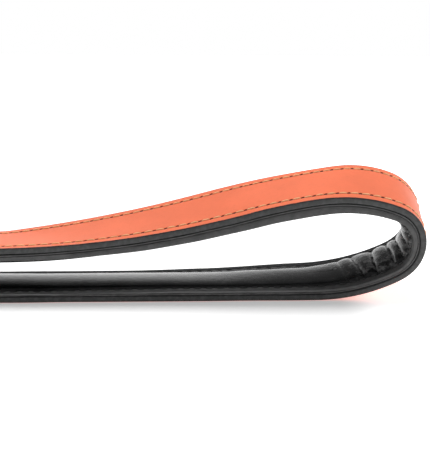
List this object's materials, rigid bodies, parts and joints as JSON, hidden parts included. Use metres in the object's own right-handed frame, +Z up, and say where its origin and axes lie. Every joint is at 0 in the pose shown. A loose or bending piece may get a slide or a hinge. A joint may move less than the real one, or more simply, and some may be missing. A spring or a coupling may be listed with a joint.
{
  "type": "training leash",
  "caption": "Flat leather training leash with a padded hand loop, its strap wound into a coil, and a swivel bolt snap at the end.",
  "frame": {"origin": "on the surface that the hand loop lies on, under the middle of the loop", "axes": "+Z up, +X from the strap towards the bend of the hand loop, +Y across the strap"},
  "size_m": [0.4425, 0.1982, 0.044],
  "materials": {
    "orange_leather": "smooth coral-orange leather with black painted edges",
    "black_leather": "smooth black leather",
    "black_nappa": "soft grained black nappa",
    "foam": "closed-cell foam",
    "thread": "waxed thread",
    "plated_steel": "satin nickel plate",
    "spring_steel": "bare wire"
  },
  "bodies": {
    "leash": {"handle_strap": "orange_leather", "handle_backing": "black_leather", "handle_pad": "foam", "handle_lining": "black_nappa", "stitch_row_near": "thread", "stitch_row_far": "thread", "joint_stitching": "thread", "joint_rivet_caps": "plated_steel", "joint_rivet_posts": "plated_steel", "joint_rivet_bases": "plated_steel", "leash_run": "orange_leather", "leash_coil": "orange_leather", "leash_tail": "orange_leather", "end_loop": "orange_leather", "end_stitching": "thread", "end_rivet_caps": "plated_steel", "end_rivet_post": "plated_steel"},
    "eye": {"swivel_eye": "plated_steel"},
    "hook": {"hook_body": "plated_steel", "bolt_spring": "spring_steel"},
    "bolt": {"latch_bolt": "plated_steel", "thumb_stud": "plated_steel"}
  },
  "joints": [
    {"name": "eye_swing", "type": "hinge", "parent": "leash", "child": "eye", "pos_m": [-0.238, 0.092, 0.0125], "axis": [0, 0, 1], "range_deg": [-45, 45]},
    {"name": "hook_swivel", "type": "hinge", "parent": "eye", "child": "hook", "pos_m": [-0.226, 0.092, 0.0125], "axis": [1, 0, 0], "continuous": true},
    {"name": "bolt_slide", "type": "slide", "parent": "hook", "child": "bolt", "axis": [-1, 0, 0], "range_m": [0, 0.007], "stiffness_N_per_m": 250, "springref_m": -0.006, "deforming": ["bolt_spring"]}
  ]
}
